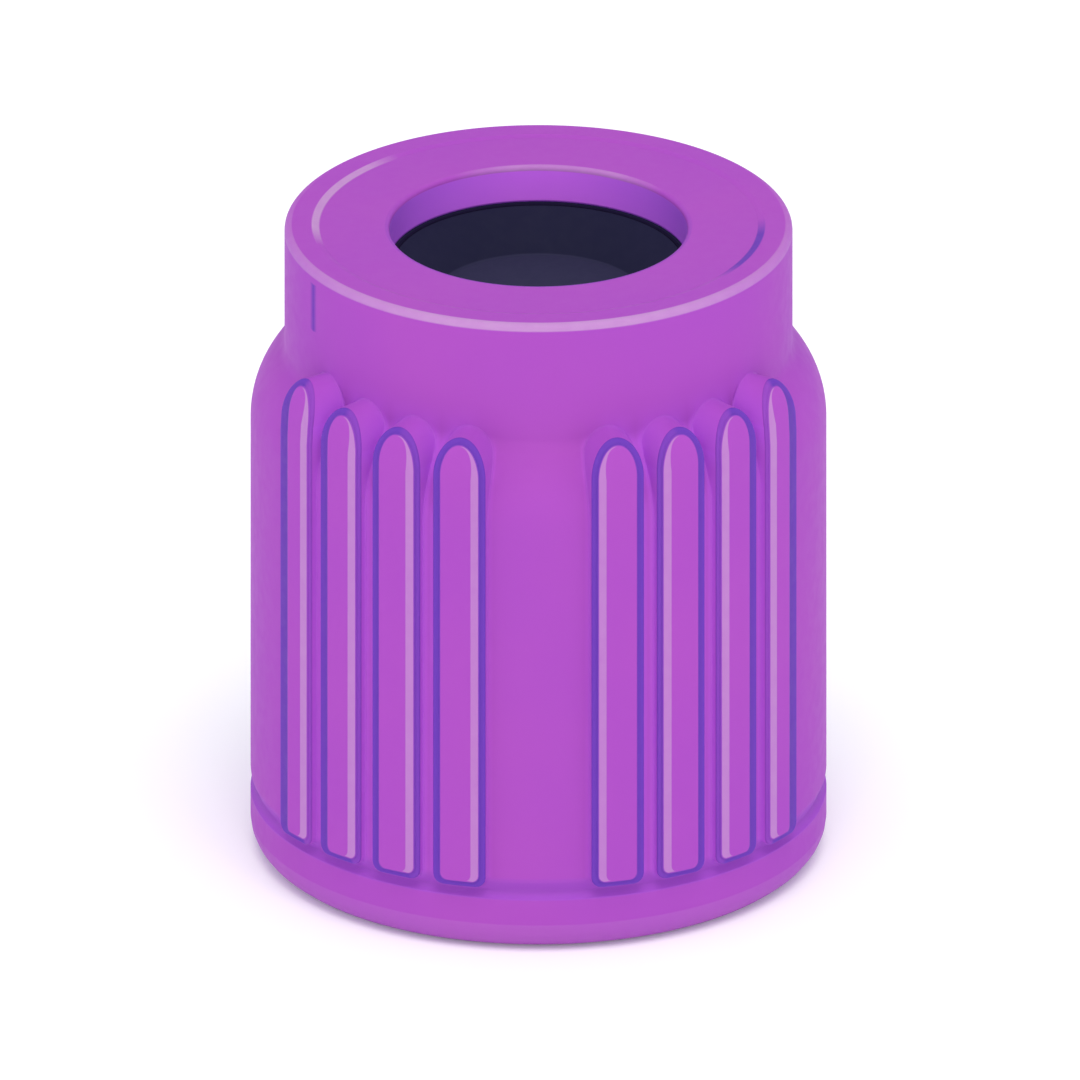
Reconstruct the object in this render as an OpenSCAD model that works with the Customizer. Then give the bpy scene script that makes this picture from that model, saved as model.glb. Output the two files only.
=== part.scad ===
// Closure of an evacuated blood collection tube: a ribbed plastic safety shield
// that snaps over a rubber stopper. The stopper's plug seals the tube's mouth,
// and a needle pierces its septum through the hole in the shield's top.
// Axis on Z, open end down at z = 0, the plain panel between two rib groups at -Y.

/* [Tube that it closes] */
// Outer diameter of the tube
tube_od = 13; // [11:0.5:16]
// Wall of the tube at its mouth
tube_wall = 1; // [0.8:0.1:1.4]
// Radial clearance of the tube in the skirt's socket
socket_gap = 0.5; // [0.3:0.05:0.8]
// Radial clearance of the tube in the guide above the socket
guide_gap = 0.25; // [0.15:0.05:0.3]
// Radial clearance of the tube in the snap bead
bead_gap = 0.1; // [0.05:0.01:0.14]

/* [Shield] */
// Height of the whole closure
shield_h = 19.8; // [18:0.2:26]
// Wall of the skirt around the socket
skirt_wall = 1.5; // [1.2:0.1:2.4]
// Wall of the neck around the stopper's flange
neck_wall = 0.7; // [0.5:0.05:1.1]
// Wall over the stopper, around the needle hole
top_wall = 1.2; // [0.8:0.1:1.6]
// Height of the neck above the shoulder
neck_h = 3.9; // [3.5:0.1:4.6]
// Height of the curved shoulder between neck and skirt
shoulder_h = 2.25; // [1.6:0.05:3]
// Hollow round where the neck runs into the shoulder
neck_fillet = 0.6; // [0.5:0.05:0.8]
// Diameter of the needle hole
hole_d = 8.8; // [7:0.1:10]
// Round on the top's outer edge
top_round = 0.25; // [0.1:0.05:0.6]
// Round on the needle hole's edge
hole_round = 0.2; // [0.1:0.05:0.4]
// Round on the skirt's bottom edge
base_round = 0.9; // [0.4:0.1:1]
// Chamfer at the socket's mouth
mouth_chamfer = 0.25; // [0.1:0.05:0.4]
// Length of the snap bead's straight land
bead_land = 0.5; // [0.3:0.1:0.8]
// How far the socket ends below the plug
socket_clear = 0.6; // [0.4:0.1:1.5]

/* [Grip ribs] */
// Ribs in each of the four groups
rib_count = 4; // [1:1:4]
// Angle from the middle of the front panel to the first rib
front_start_angle = 15.7; // [10:0.1:20]
// Angle from the middle of the rear panel to the first rib
rear_start_angle = 12.5; // [10:0.1:20]
// Angle from one rib to the next
rib_pitch_angle = 13.35; // [12:0.05:15]
// Width of a rib
rib_w = 1.6; // [1:0.1:1.8]
// How far a rib's face stands out from the skirt
rib_proud = 0.28; // [0.1:0.02:0.44]
// Height of the ribs' feet above the bottom edge
rib_foot = 2.15; // [1.8:0.05:4]
// Depth of the tips of the ribs beside the front and rear panels below the top
rib_tip_drop = 3.35; // [3:0.05:4.2]
// How much higher the last rib of a group reaches, beside the side panels
rib_tip_rise = 0.37; // [0:0.01:0.5]
// How far the ribs' curved crowns rise above the shoulder's own curve
crown_lift = 1.5; // [0.4:0.05:1.7]
// Height of a rib's arched tip
arch_h = 1.2; // [0.8:0.1:2]
// Round at the corners of a rib's foot
foot_round = 0.3; // [0.1:0.05:0.45]

/* [Base band] */
// Height of the plain band below the relief
band_h = 1.75; // [1.2:0.05:3]
// Height of the relief that the ribs run out in
relief_h = 0.65; // [0.3:0.05:1]
// Depth of the relief
relief_depth = 0.18; // [0.05:0.01:0.25]

/* [Stopper] */
// How far the snap bead reaches under the flange
flange_grip = 0.15; // [0.1:0.01:0.3]
// Radial clearance around the flange
flange_gap = 0.05; // [0.02:0.01:0.1]
// Thickness of the flange
flange_h = 2.4; // [1.8:0.1:3]
// Round on the flange's edges
flange_round = 0.25; // [0.1:0.05:0.5]
// How much larger than the tube's bore the plug is, on the radius
plug_squeeze = 0.1; // [0.05:0.01:0.2]
// Length of the plug below the flange
plug_l = 7; // [5:0.2:8]
// Chamfer that leads the plug into the tube
plug_lead = 0.6; // [0.2:0.1:1]
// Wall of the plug around its hollow
plug_wall = 2.4; // [1.6:0.1:3]
// Round at the roof of the plug's hollow
hollow_round = 1.2; // [0.4:0.1:1.6]
// Flat rim of the stopper that shows around its dish
dish_rim = 0.1; // [0.05:0.05:0.4]
// Depth of the dish below the flange's top
dish_h = 1.12; // [0.6:0.02:1.6]
// Run of the dish's slope, on the radius
dish_run = 1.27; // [0.8:0.01:2]
// Thickness of the septum between dish and hollow
septum_h = 2.5; // [1.5:0.1:3]

/* [Hidden] */
$fn = 128;
// Cuts run past the faces that they open by this much
over = 1;

tube_r = tube_od / 2;
socket_r = tube_r + socket_gap;
guide_r = tube_r + guide_gap;
bead_r = tube_r + bead_gap;
flange_r = bead_r + flange_grip;
seat_r = flange_r + flange_gap;
skirt_r = socket_r + skirt_wall;
neck_r = seat_r + neck_wall;
hole_r = hole_d / 2;

// Levels, from the bottom edge up
roof_z = shield_h - top_wall;
ledge_z = roof_z - flange_h;
plug_end_z = ledge_z - plug_l;
socket_top_z = plug_end_z - socket_clear;
neck_z = shield_h - neck_h;
shoulder_z = neck_z - shoulder_h;

// The shoulder is one arc, upright where it meets the skirt
shoulder_step = skirt_r - neck_r;
shoulder_r = (shoulder_step * shoulder_step + shoulder_h * shoulder_h) / (2 * shoulder_step);
shoulder_x = skirt_r - shoulder_r;

rib_root_r = neck_r - neck_wall / 2;
rib_top_z = shield_h - rib_tip_drop;
// Later ribs of a group rise by this power of their place in it
rib_rise_power = 3;
rib_sector = 2 * asin(rib_w / 2 / rib_root_r) + 4;

plug_r = tube_r - tube_wall + plug_squeeze;
hollow_r = plug_r - plug_wall;
dish_top_r = hole_r - dish_rim;
dish_floor_r = dish_top_r - dish_run;
dish_floor_z = roof_z - dish_h;
hollow_roof_z = dish_floor_z - septum_h;

shield_colour = [0.71, 0.33, 0.79];
stopper_colour = [0.16, 0.16, 0.25];

// What a round of radius r takes off a square corner at the origin, which points to +X +Y
module corner_off(r) {
    translate([-r, -r]) difference() {
        square(2 * r);
        circle(r);
    }
}

// Half section of the neck, shoulder and skirt, grown outwards by the given amount
module grown_outline(out) {
    fillet = neck_fillet - out;
    fillet_x = neck_r + out + fillet;
    reach = shoulder_r + neck_fillet;
    fillet_rise = sqrt(reach * reach - (fillet_x - shoulder_x) * (fillet_x - shoulder_x));
    touch = (shoulder_r + out) / reach;

    square([skirt_r + out, shoulder_z]);
    square([neck_r + out, shield_h]);
    intersection() {
        translate([shoulder_x, shoulder_z]) circle(shoulder_r + out);
        translate([0, shoulder_z]) square([skirt_r + out, fillet_rise]);
    }
    difference() {
        translate([0, shoulder_z]) polygon([
            [neck_r - neck_wall / 2, fillet_rise],
            [fillet_x, fillet_rise],
            [shoulder_x + touch * (fillet_x - shoulder_x), touch * fillet_rise],
            [neck_r - neck_wall / 2, touch * fillet_rise],
        ]);
        translate([fillet_x, shoulder_z + fillet_rise]) circle(fillet);
    }
}

// Half section of the shield's outside, without its ribs
module outside_outline() {
    difference() {
        grown_outline(0);
        translate([neck_r, shield_h]) corner_off(top_round);
        translate([skirt_r, 0]) mirror([0, 1]) corner_off(base_round);
        polygon([
            [skirt_r + over, band_h],
            [skirt_r, band_h],
            [skirt_r - relief_depth, band_h + relief_depth],
            [skirt_r, band_h + relief_h],
            [skirt_r + over, band_h + relief_h],
        ]);
    }
}

// Half section of everything that is hollow: hole, stopper's seat, bead, guide and socket
module inside_outline() {
    polygon([
        [0, -over],
        [socket_r + mouth_chamfer, -over],
        [socket_r + mouth_chamfer, 0],
        [socket_r, mouth_chamfer],
        [socket_r, socket_top_z],
        [guide_r, socket_top_z + socket_r - guide_r],
        [guide_r, ledge_z - bead_land - (guide_r - bead_r)],
        [bead_r, ledge_z - bead_land],
        [bead_r, ledge_z],
        [seat_r, ledge_z],
        [seat_r, roof_z],
        [hole_r, roof_z],
        [hole_r, shield_h + over],
        [0, shield_h + over],
    ]);
    translate([hole_r, shield_h]) mirror([1, 0]) corner_off(hole_round);
}

// A rib's front view: round-cornered foot on the X axis, elliptical arch on top
module rib_face(w, h) {
    straight_h = h - arch_h;
    difference() {
        translate([-w / 2, 0]) square([w, straight_h]);
        for (side = [0, 1])
            mirror([side, 0]) translate([w / 2, 0]) mirror([0, 1]) corner_off(foot_round);
    }
    translate([0, straight_h]) scale([1, 2 * arch_h / w]) circle(d = w);
}

// One rib on the +X side, as tall as its place in the group makes it
module rib(place) {
    rise = rib_tip_rise * pow(place / max(1, rib_count - 1), rib_rise_power);
    intersection() {
        rotate([0, 0, -rib_sector / 2]) rotate_extrude(angle = rib_sector) difference() {
            translate([0, crown_lift]) grown_outline(rib_proud);
            square([rib_root_r, shield_h + crown_lift]);
        }
        translate([0, 0, rib_foot]) rotate([90, 0, 90])
            linear_extrude(skirt_r + rib_proud + over) rib_face(rib_w, rib_top_z + rise - rib_foot);
    }
}

// A group of ribs on each side of a plain panel, which faces the given direction
module rib_groups(facing, start_angle) {
    for (side = [-1, 1], i = [0 : rib_count - 1])
        rotate([0, 0, facing + side * (start_angle + i * rib_pitch_angle)]) rib(i);
}

module shield() {
    color(shield_colour) difference() {
        union() {
            rotate_extrude() outside_outline();
            rib_groups(-90, front_start_angle);
            rib_groups(90, rear_start_angle);
        }
        rotate_extrude() inside_outline();
    }
}

module stopper() {
    color(stopper_colour) rotate_extrude() difference() {
        union() {
            translate([0, ledge_z]) square([flange_r, flange_h]);
            translate([0, plug_end_z]) square([plug_r, plug_l + flange_h]);
        }
        translate([flange_r, roof_z]) corner_off(flange_round);
        translate([flange_r, ledge_z]) mirror([0, 1]) corner_off(flange_round);
        polygon([
            [plug_r - plug_lead, plug_end_z],
            [plug_r, plug_end_z + plug_lead],
            [plug_r + over, plug_end_z + plug_lead],
            [plug_r + over, plug_end_z - over],
            [plug_r - plug_lead, plug_end_z - over],
        ]);
        polygon([
            [0, dish_floor_z],
            [dish_floor_r, dish_floor_z],
            [dish_top_r, roof_z],
            [dish_top_r, roof_z + over],
            [0, roof_z + over],
        ]);
        difference() {
            translate([0, plug_end_z - over]) square([hollow_r, hollow_roof_z - plug_end_z + over]);
            translate([hollow_r, hollow_roof_z]) corner_off(hollow_round);
        }
    }
}

shield();
stopper();
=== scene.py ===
"""The looks of a blood collection tube's closure: a ribbed plastic safety shield over a rubber stopper.

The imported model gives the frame. Two pieces replace its two plain nodes: the shield, one closed skin with
its grip ribs grown out of it, and the stopper, turned with its dish, flange, plug and hollow. Sizes in the
classes are in millimetres, from the bottom edge up, and become metres when a piece is finished.
"""

import logging
import math
from abc import ABC, abstractmethod
from dataclasses import dataclass, field
from enum import Enum

import bmesh
import bpy
from bmesh.types import BMEdge, BMesh, BMFace, BMVert
from mathutils import Matrix, Vector


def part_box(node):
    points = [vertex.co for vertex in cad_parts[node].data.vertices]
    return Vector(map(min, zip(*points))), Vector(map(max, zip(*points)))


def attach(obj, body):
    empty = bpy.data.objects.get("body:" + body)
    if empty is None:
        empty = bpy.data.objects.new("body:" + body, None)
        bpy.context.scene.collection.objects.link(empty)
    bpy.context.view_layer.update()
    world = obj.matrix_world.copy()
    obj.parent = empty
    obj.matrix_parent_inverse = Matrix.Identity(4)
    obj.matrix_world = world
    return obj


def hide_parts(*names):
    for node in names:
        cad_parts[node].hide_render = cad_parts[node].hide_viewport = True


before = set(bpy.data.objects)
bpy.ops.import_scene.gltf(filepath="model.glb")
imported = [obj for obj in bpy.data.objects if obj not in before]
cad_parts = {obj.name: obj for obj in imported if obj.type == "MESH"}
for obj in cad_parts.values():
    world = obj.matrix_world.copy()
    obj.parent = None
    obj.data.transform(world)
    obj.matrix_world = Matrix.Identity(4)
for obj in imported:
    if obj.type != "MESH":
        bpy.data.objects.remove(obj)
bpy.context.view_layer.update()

MM = 0.001

# a full turn and the directions of two plain panels, in degrees round the axis
FULL_TURN = 360.0
FRONT_PANEL = -90.0
REAR_PANEL = 90.0

# the marks that a mesh carries to its material, each 0 to 1: edges worn light together with painted
# highlights, painted shade in creases and hollows, and painted light that lifts shade
HIGHLIT_AND_WORN = "edge_wear"
PAINTED_SHADE = "recess"
PAINTED_LIGHT = "shine_through"

# the point of a rib's outline that a vertex belongs to, while the shield is built
RIM = "rim"

# how near two points of a mesh lie to be one, and how far below its height a border is still found
SAME_SPOT = 0.001
BORDER_SLACK = 0.01

log = logging.getLogger("closure")


def box_mm(node: str) -> list[list[float]]:
    """Returns a node's lowest and highest corners in millimetres, to a thousandth."""
    return [[round(value / MM, 3) for value in corner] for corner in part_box(node)]


SHIELD_HIGH = box_mm("shield")[1]
STOPPER_LOW, STOPPER_HIGH = box_mm("stopper")


# ---------------------------------------------------------------- shader tools


class Socket(Enum):
    """What a socket of a node group carries."""

    VALUE = "NodeSocketFloat"
    PLACE = "NodeSocketVector"
    COLOUR = "NodeSocketColor"


def set_inputs(node: bpy.types.Node, values: dict[str | int, object]) -> None:
    """Sets the values of a node's unlinked inputs, by name or number."""
    for socket, value in values.items():
        node.inputs[socket].default_value = value


def add_node(tree: bpy.types.NodeTree, kind: str, name: str, values: dict[str | int, object] | None = None,
             **settings: object) -> bpy.types.Node:
    """Adds a node.

    Args:
        tree: The material's or the group's tree.
        kind: The node's type.
        name: The name that it is wired by.
        values: Values of its unlinked inputs, by name or number.
        settings: Its other settings.

    Returns:
        The node.
    """
    node = tree.nodes.new(kind)
    node.name = name
    for setting, value in settings.items():
        setattr(node, setting, value)
    set_inputs(node, values or {})
    return node


def wire(tree: bpy.types.NodeTree, *runs: str) -> None:
    """Links sockets.

    Args:
        tree: The tree that holds the nodes.
        runs: Each link as "node.output > node.input", with a number for an input that shares its name.
    """
    for run in runs:
        (source, output), (target, into) = (end.split(".") for end in run.split(" > "))
        socket = tree.nodes[target].inputs[int(into) if into.isdigit() else into]
        tree.links.new(tree.nodes[source].outputs[output], socket)


# ---------------------------------------------------------------- finishes

# the middle stretch of a noise, which holds nearly all of its values
NOISE_MIDDLE = {"From Min": 0.35, "From Max": 0.65}

SHADER = "Principled BSDF"


class Effects:
    """Shader node groups that both finishes use, each built once."""

    def __init__(self) -> None:
        """Builds the groups."""
        self.grain = self._grain()
        self.drift = self._drift()
        self.marks = self._marks()

    @staticmethod
    def _new(name: str, inputs: dict[str, Socket | float],
             outputs: dict[str, Socket]) -> bpy.types.ShaderNodeTree:
        """Makes an empty group.

        Args:
            name: The group's name.
            inputs: What each input carries, or the default of one that carries a value.
            outputs: What each output carries.

        Returns:
            The group, with its input node "in" and its output node "out".
        """
        tree = bpy.data.node_groups.new(name, "ShaderNodeTree")
        for label, carried in inputs.items():
            kind = carried if isinstance(carried, Socket) else Socket.VALUE
            socket = tree.interface.new_socket(name=label, in_out="INPUT", socket_type=kind.value)
            if kind is not carried:
                socket.default_value = carried
        for label, kind in outputs.items():
            tree.interface.new_socket(name=label, in_out="OUTPUT", socket_type=kind.value)
        add_node(tree, "NodeGroupInput", "in")
        add_node(tree, "NodeGroupOutput", "out")
        return tree

    def _grain(self) -> bpy.types.ShaderNodeTree:
        """Moulded grain: fine spark-eroded pits over a slow orange peel, as a height and a mottle."""
        tree = self._new("moulded_grain",
                         {"Position": Socket.PLACE, "Pit Size": 9000.0, "Peel Size": 900.0,
                          "Peel Share": 0.5},
                         {"Height": Socket.VALUE, "Mottle": Socket.VALUE})
        add_node(tree, "ShaderNodeTexNoise", "pits", {"Detail": 2.0})
        add_node(tree, "ShaderNodeTexNoise", "peel", {"Detail": 1.0})
        add_node(tree, "ShaderNodeMix", "blend")
        wire(tree, "in.Position > pits.Vector", "in.Position > peel.Vector",
             "in.Pit Size > pits.Scale", "in.Peel Size > peel.Scale", "in.Peel Share > blend.Factor",
             "pits.Fac > blend.A", "peel.Fac > blend.B", "blend.Result > out.Height",
             "peel.Fac > out.Mottle")
        return tree

    def _drift(self) -> bpy.types.ShaderNodeTree:
        """Slow colour drift, as pigment gives in a moulded or cured part."""
        tree = self._new("colour_drift",
                         {"Position": Socket.PLACE, "Colour": Socket.COLOUR, "Drifted Colour": Socket.COLOUR,
                          "Size": 200.0},
                         {"Colour": Socket.COLOUR})
        add_node(tree, "ShaderNodeTexNoise", "cloud", {"Detail": 3.0})
        add_node(tree, "ShaderNodeMapRange", "spread", NOISE_MIDDLE)
        add_node(tree, "ShaderNodeMix", "mix", data_type="RGBA")
        wire(tree, "in.Position > cloud.Vector", "in.Size > cloud.Scale", "cloud.Fac > spread.Value",
             "spread.Result > mix.Factor", "in.Colour > mix.A", "in.Drifted Colour > mix.B",
             "mix.Result > out.Colour")
        return tree

    def _marks(self) -> bpy.types.ShaderNodeTree:
        """Painted light, painted shade and edges worn light with painted highlights, laid one over the
        other, with the highlights broken up.
        """
        tree = self._new("painted_light_shade_and_worn_edges",
                         {"Position": Socket.PLACE, "Colour": Socket.COLOUR, "Edge": 0.0,
                          "Edge Colour": Socket.COLOUR, "Recess": 0.0, "Recess Colour": Socket.COLOUR,
                          "Glow": 0.0, "Glow Colour": Socket.COLOUR, "Break Up": 0.3, "Break Size": 2500.0},
                         {"Colour": Socket.COLOUR, "Edge Mask": Socket.VALUE})
        add_node(tree, "ShaderNodeTexNoise", "speckle", {"Detail": 3.0})
        add_node(tree, "ShaderNodeMath", "lost", operation="MULTIPLY")
        add_node(tree, "ShaderNodeMath", "kept", {0: 1.0}, operation="SUBTRACT")
        add_node(tree, "ShaderNodeMath", "mask", operation="MULTIPLY", use_clamp=True)
        for name in ("lit", "deep", "bright"):
            add_node(tree, "ShaderNodeMix", name, data_type="RGBA")
        wire(tree, "in.Position > speckle.Vector", "in.Break Size > speckle.Scale",
             "speckle.Fac > lost.0", "in.Break Up > lost.1", "lost.Value > kept.1",
             "in.Edge > mask.0", "kept.Value > mask.1",
             "in.Glow > lit.Factor", "in.Colour > lit.A", "in.Glow Colour > lit.B",
             "in.Recess > deep.Factor", "lit.Result > deep.A", "in.Recess Colour > deep.B",
             "mask.Value > bright.Factor", "deep.Result > bright.A", "in.Edge Colour > bright.B",
             "bright.Result > out.Colour", "mask.Value > out.Edge Mask")
        return tree


@dataclass(frozen=True)
class MouldedFinish:
    """A moulded material: pigment, grain, edges worn light with painted highlights, painted shade and
    painted light.

    Args:
        name: The material's name.
        colour: Its pigment, linear as all its colours are.
        drifted: The pigment where it drifts.
        highlit_and_worn_colour: Edges worn light, and painted highlights.
        painted_shade_colour: Painted shade in creases and hollows.
        painted_light_colour: Painted light that lifts shade.
        rough: Roughness at the mottle's low and high ends.
        edge_polish: How much roughness drops on the worn, highlit edges.
        pit_size: Grain frequency per metre.
        peel_size: Orange peel frequency per metre.
        peel_share: Peel's share of the height.
        bump: Bump strength.
        bump_depth: Bump distance in metres.
        specular: Specular level.
        index: Index of refraction.
        spread: How much light spreads inside, 0 for none.
        drift_size: Colour drift frequency per metre.
        break_up: How far the worn, highlit edges are broken up.
        spread_depth: How deep the light spreads, in metres.
        spread_colour: How far red, green and blue spread, as shares of that depth.
    """

    name: str
    colour: tuple[float, float, float]
    drifted: tuple[float, float, float]
    highlit_and_worn_colour: tuple[float, float, float]
    painted_shade_colour: tuple[float, float, float]
    painted_light_colour: tuple[float, float, float]
    rough: tuple[float, float]
    edge_polish: float
    pit_size: float
    peel_size: float
    peel_share: float
    bump: float
    bump_depth: float
    specular: float
    index: float
    spread: float
    drift_size: float
    break_up: float
    spread_depth: float = 0.0005
    spread_colour: tuple[float, float, float] = (1.0, 0.6, 1.0)

    def material(self, effects: Effects) -> bpy.types.Material:
        """Builds the material.

        Args:
            effects: The shared groups.

        Returns:
            The material.
        """
        made = bpy.data.materials.new(self.name)
        made.use_nodes = True
        tree = made.node_tree
        set_inputs(tree.nodes[SHADER], {
            "Specular IOR Level": self.specular, "IOR": self.index, "Subsurface Weight": self.spread,
            "Subsurface Radius": self.spread_colour, "Subsurface Scale": self.spread_depth})
        add_node(tree, "ShaderNodeTexCoord", "place")
        for name in (HIGHLIT_AND_WORN, PAINTED_SHADE, PAINTED_LIGHT):
            add_node(tree, "ShaderNodeAttribute", name, attribute_name=name)
        shared = {
            "drift": (effects.drift, {"Colour": (*self.colour, 1), "Drifted Colour": (*self.drifted, 1),
                                      "Size": self.drift_size}),
            "marks": (effects.marks, {"Edge Colour": (*self.highlit_and_worn_colour, 1),
                                      "Recess Colour": (*self.painted_shade_colour, 1),
                                      "Glow Colour": (*self.painted_light_colour, 1), "Break Up": self.break_up}),
            "grain": (effects.grain, {"Pit Size": self.pit_size, "Peel Size": self.peel_size,
                                      "Peel Share": self.peel_share}),
        }
        for name, (group, values) in shared.items():
            add_node(tree, "ShaderNodeGroup", name, values, node_tree=group)
            wire(tree, f"place.Object > {name}.Position")
        low, high = self.rough
        add_node(tree, "ShaderNodeMapRange", "rough", {**NOISE_MIDDLE, "To Min": low, "To Max": high})
        add_node(tree, "ShaderNodeMath", "polish", {1: -self.edge_polish}, operation="MULTIPLY_ADD")
        add_node(tree, "ShaderNodeBump", "bump", {"Strength": self.bump, "Distance": self.bump_depth})
        wire(tree, "drift.Colour > marks.Colour", f"{HIGHLIT_AND_WORN}.Fac > marks.Edge", f"{PAINTED_SHADE}.Fac > marks.Recess",
             f"{PAINTED_LIGHT}.Fac > marks.Glow", f"marks.Colour > {SHADER}.Base Color",
             "grain.Mottle > rough.Value", "marks.Edge Mask > polish.0", "rough.Result > polish.2",
             f"polish.Value > {SHADER}.Roughness", "grain.Height > bump.Height",
             f"bump.Normal > {SHADER}.Normal")
        return made


def srgb(red: int, green: int, blue: int) -> tuple[float, float, float]:
    """Turns a display colour into a linear one.

    Args:
        red: Its red level, 0 to 255.
        green: Its green level.
        blue: Its blue level.

    Returns:
        The three linear levels, 0 to 1.
    """
    def linear(level: int) -> float:
        """Returns one channel's linear value."""
        share = level / 255
        return share / 12.92 if share <= 0.04045 else ((share + 0.055) / 1.055) ** 2.4
    return linear(red), linear(green), linear(blue)


# pale lilac for worn edges and painted highlights, deep violet for painted shade, bright violet for painted
# light
LAVENDER_PLASTIC = MouldedFinish(
    name="lavender_plastic", colour=srgb(162, 76, 178), drifted=srgb(159, 74, 179),
    highlit_and_worn_colour=srgb(182, 139, 189), painted_shade_colour=srgb(102, 58, 166), painted_light_colour=srgb(209, 111, 249),
    rough=(0.46, 0.54), edge_polish=0.12, pit_size=9000.0, peel_size=2600.0, peel_share=0.2, bump=0.11,
    bump_depth=0.00002, specular=0.05, index=1.4, spread=0.2, drift_size=160.0, break_up=0.3)

# a lighter tone for the dish floor, near-black for the painted shade line round the dish
BUTYL_RUBBER = MouldedFinish(
    name="dark_butyl_rubber", colour=srgb(30, 31, 56), drifted=srgb(27, 28, 53),
    highlit_and_worn_colour=srgb(46, 46, 72), painted_shade_colour=srgb(14, 10, 38), painted_light_colour=srgb(30, 31, 56),
    rough=(0.72, 0.8), edge_polish=0.05, pit_size=7000.0, peel_size=2600.0, peel_share=0.2, bump=0.15,
    bump_depth=0.00002, specular=0.15, index=1.4, spread=0.0, drift_size=220.0, break_up=0.15)


# ---------------------------------------------------------------- turned shapes


class Reach(Enum):
    """How far round the axis a mark goes: its middle direction, half its width and its fade, in degrees."""

    ALL_ROUND = (0.0, FULL_TURN, 1.0)
    # the members below lay painted highlights and painted shade on the sides of edges that the front lamps
    # light or leave dark, and a thin painted shade line on the neck
    FRONT = (FRONT_PANEL, 75.0, 100.0)
    REAR = (80.0, 33.0, 24.0)
    ALL_BUT_REAR = (FRONT_PANEL, 142.0, 60.0)
    REAR_LEFT = (161.0, 27.0, 10.0)
    FRONT_RIGHT = (-16.0, 15.0, 10.0)
    NECK_SHADE_LINE = (-152.4, 0.6, 1.0)

    def share(self, spot: Vector) -> float:
        """Returns how strongly the mark shows in a spot's direction from the axis, 0 to 1."""
        middle, half, fade = self.value
        off_middle = math.degrees(math.atan2(spot.y, spot.x)) - middle
        turn = abs((off_middle + FULL_TURN / 2) % FULL_TURN - FULL_TURN / 2)
        return clamped((half - turn) / fade + 0.5)


@dataclass(frozen=True)
class Marks:
    """Worn edges, painted highlights, painted shade and painted light on a stretch of a turned surface.

    Args:
        wear: How far an edge is worn light and given a painted highlight, 0 to 1.
        recess: How much painted shade it has, as in a crease, 0 to 1.
        glow: How much painted light lifts its shade, 0 to 1.
        worn_and_highlit_part: How far round the worn light edge and its painted highlight go.
        shaded: How far round the painted shade goes.
    """

    wear: float = 0.0
    recess: float = 0.0
    glow: float = 0.0
    worn_and_highlit_part: Reach = Reach.ALL_ROUND
    shaded: Reach = Reach.ALL_ROUND


PLAIN = Marks()
# a full painted shade line
PAINTED_SHADE_LINE = Marks(recess=1.0)


@dataclass(frozen=True)
class Station:
    """One ring of a turned surface.

    Args:
        radius: Distance from the axis.
        height: Height above the bottom edge.
        marks: Its marks.
    """

    radius: float
    height: float
    marks: Marks


@dataclass(frozen=True)
class Corner:
    """A corner of a turned section.

    Args:
        radius: Distance from the axis.
        height: Height above the bottom edge.
        rounding: Radius of the round that softens it, or 0 for none.
        marks: The marks on that round.
    """

    radius: float
    height: float
    rounding: float = 0.0
    marks: Marks = PLAIN

    def at(self, point: Vector) -> Station:
        """Returns a ring of this corner's round."""
        return Station(point.x, point.y, self.marks)

    def beside(self, point: Vector, other: "Corner") -> Station:
        """Returns a ring on the flat between the round and another corner.

        Args:
            point: The ring's radius and height.
            other: The corner at the flat's far end.

        Returns:
            The ring, plain unless the other corner has no round, or has the same marks.
        """
        carried = other.rounding <= 0.0 or self.marks == other.marks
        return Station(point.x, point.y, other.marks if carried else PLAIN)


@dataclass(frozen=True)
class Section:
    """A half section through a turned piece, walked from corner to corner.

    Args:
        corners: The section's corners, in order.
        segments: Segments in each round.
        hold: Length of the narrow ring that keeps the flat beside a round flat.
    """

    corners: tuple[Corner, ...]
    segments: int = 6
    hold: float = 0.04

    def stations(self) -> list[Station]:
        """Rounds the corners.

        Returns:
            The section's rings, in order.
        """
        rings: list[Station] = []
        last = len(self.corners) - 1
        for index, corner in enumerate(self.corners):
            here = Vector((corner.radius, corner.height))
            if corner.rounding <= 0.0 or index in (0, last):
                rings.append(corner.at(here))
                continue
            last_one, next_one = self.corners[index - 1], self.corners[index + 1]
            before, after = self._toward(here, last_one), self._toward(here, next_one)
            half = before.angle(after) / 2
            run = corner.rounding / math.tan(half)
            centre = here + (before + after).normalized() * (corner.rounding / math.sin(half))
            start, end = here + before * run, here + after * run
            rings.append(corner.beside(start + before * self.hold, last_one))
            sweep = math.pi - 2 * half
            for step in range(self.segments + 1):
                share = step / self.segments
                from_start = (start - centre) * math.sin((1 - share) * sweep)
                from_end = (end - centre) * math.sin(share * sweep)
                rings.append(corner.at(centre + (from_start + from_end) / math.sin(sweep)))
            rings.append(corner.beside(end + after * self.hold, next_one))
        return rings

    @staticmethod
    def _toward(here: Vector, other: Corner) -> Vector:
        """Returns the direction from a corner to its neighbour."""
        return (Vector((other.radius, other.height)) - here).normalized()


def spin_line(bm: BMesh, line: list[BMVert], turn: float, steps: int) -> None:
    """Spins a line around the axis.

    Args:
        bm: The mesh that holds the line.
        line: The line's points, in order.
        turn: How far it is spun, in degrees.
        steps: Steps on the way. A full turn closes on itself.
    """
    edges = [bm.edges.new(pair) for pair in zip(line, line[1:])]
    bmesh.ops.spin(bm, geom=line + edges, cent=(0, 0, 0), axis=(0, 0, 1), dvec=(0, 0, 0),
                   angle=math.radians(turn), steps=steps, use_merge=turn >= FULL_TURN, use_duplicate=False)


def clamped(share: float) -> float:
    """Returns a share kept between 0 and 1."""
    return min(max(share, 0.0), 1.0)


def eased(share: float) -> float:
    """Returns a share from 0 to 1 that starts and ends softly."""
    return share * share * (3 - 2 * share)


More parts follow.
